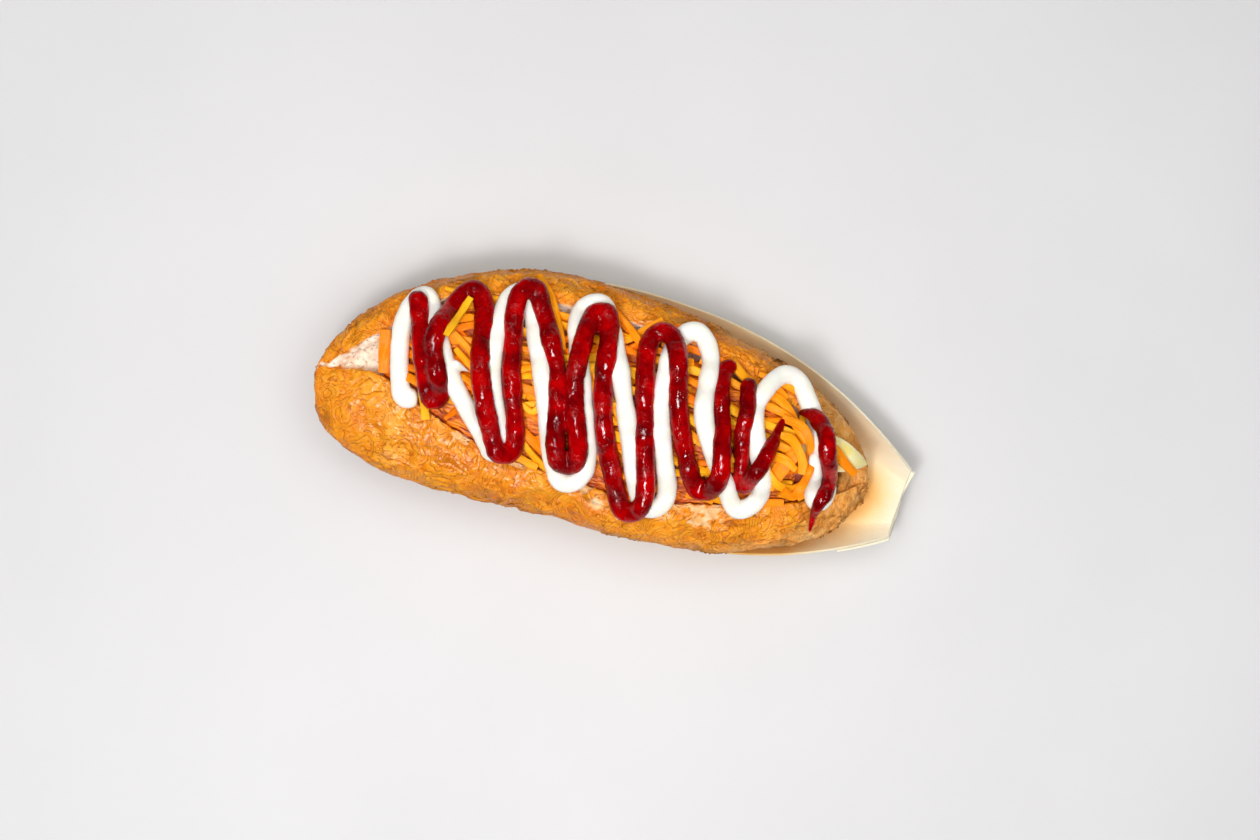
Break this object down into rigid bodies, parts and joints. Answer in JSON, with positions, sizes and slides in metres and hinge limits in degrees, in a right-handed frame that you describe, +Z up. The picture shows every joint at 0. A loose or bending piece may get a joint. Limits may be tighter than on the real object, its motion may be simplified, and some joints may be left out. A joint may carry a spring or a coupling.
{
  "type": "hot dog in a wooden boat",
  "caption": "Sausage in a long slit roll, heaped with carrot shreds, zigzags of ketchup and mayonnaise and a pickle slice, lying in a thin wooden serving boat.",
  "frame": {"origin": "on the table under the boat's flat floor, below the middle of the hot dog", "axes": "+X along the roll, towards its narrower end and the boat's free end; +Y across it, towards the side that bulges; +Z up"},
  "size_m": [0.2172, 0.0886, 0.0628],
  "materials": {
    "veneer": "thin pale pine, unfinished",
    "bread": "golden brown glazed crust with fine wrinkles, pale crumb where cut",
    "sausage": "red-brown cooked skin, slightly shiny",
    "carrots_and_sauces": "moist orange shreds under glossy red and warm white beads",
    "pickle": "wet, slightly see-through yellow-green"
  },
  "bodies": {
    "root": {"boat": "veneer", "roll": "bread", "sausage": "sausage", "carrots_with_sauces": "carrots_and_sauces", "pickle_slice": "pickle"}
  },
  "joints": []
}
